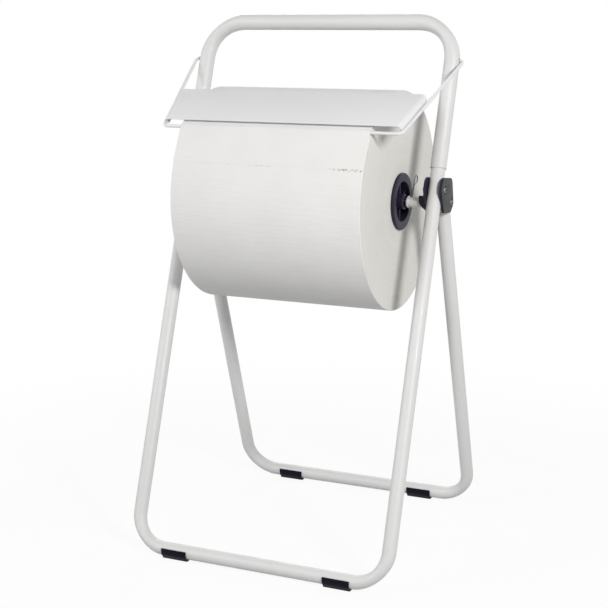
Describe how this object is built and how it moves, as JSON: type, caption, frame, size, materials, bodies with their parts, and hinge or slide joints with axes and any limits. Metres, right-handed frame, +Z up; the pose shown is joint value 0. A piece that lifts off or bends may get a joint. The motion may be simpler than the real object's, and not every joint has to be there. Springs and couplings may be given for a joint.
{
  "type": "floor-standing roll stand",
  "caption": "Folding floor stand of bent white tube with a large paper wiper roll on an axle in black cradle brackets, and a hinged wire tear bar with a sheet-metal plate resting on the roll.",
  "frame": {"origin": "on the floor, midway between the front bar and the rear bar and midway between the legs", "axes": "+Z up, the front with the tear bar faces -Y, +X to the right of someone who faces the front"},
  "size_m": [0.4712, 0.4534, 0.8528],
  "materials": {
    "white_coat": "satin off-white powder coat",
    "black_plastic": "satin black plastic",
    "zinc_plate": "bright zinc plate",
    "paper": "soft white wiping paper",
    "cardboard": "plain cardboard"
  },
  "bodies": {
    "stand": {"front_lower_frame": "white_coat", "handle_frame": "white_coat", "sleeve_screw_left": "zinc_plate", "sleeve_screw_right": "zinc_plate", "bracket_outer_left": "black_plastic", "bracket_outer_right": "black_plastic", "bracket_inner_left": "black_plastic", "bracket_inner_right": "black_plastic", "frame_bolt_left": "zinc_plate", "frame_bolt_right": "zinc_plate", "frame_nut_left": "zinc_plate", "frame_nut_right": "zinc_plate", "pivot_bolt_left": "zinc_plate", "pivot_bolt_right": "zinc_plate", "pivot_nut_left": "zinc_plate", "pivot_nut_right": "zinc_plate", "pivot_bush_left": "zinc_plate", "pivot_bush_right": "zinc_plate", "front_foot_left": "black_plastic", "front_foot_right": "black_plastic", "axle_tube": "white_coat", "axle_plug_left": "black_plastic", "axle_plug_right": "black_plastic", "collar_left": "zinc_plate", "collar_right": "zinc_plate", "spring_clip_left": "zinc_plate", "spring_clip_right": "zinc_plate"},
    "rear_legs": {"rear_frame": "white_coat", "rear_plug_left": "black_plastic", "rear_plug_right": "black_plastic", "rear_foot_left": "black_plastic", "rear_foot_right": "black_plastic"},
    "roll": {"core_flange_left": "black_plastic", "core_flange_right": "black_plastic", "cardboard_core": "cardboard", "paper_roll": "paper"},
    "tear_bar": {"tear_bar_wire": "white_coat", "tear_plate": "white_coat", "free_sheet": "paper"}
  },
  "joints": [
    {"name": "rear_fold", "type": "hinge", "parent": "stand", "child": "rear_legs", "pos_m": [0, 0.02407, 0.56428], "axis": [-1, 0, 0], "range_deg": [0, 38]},
    {"name": "roll_spin", "type": "hinge", "parent": "stand", "child": "roll", "pos_m": [0, 0.00036, 0.56502], "axis": [1, 0, 0], "continuous": true},
    {"name": "tear_bar_lift", "type": "hinge", "parent": "stand", "child": "tear_bar", "pos_m": [0, 0.05788, 0.78142], "axis": [-1, 0, 0], "range_deg": [0, 250]}
  ]
}
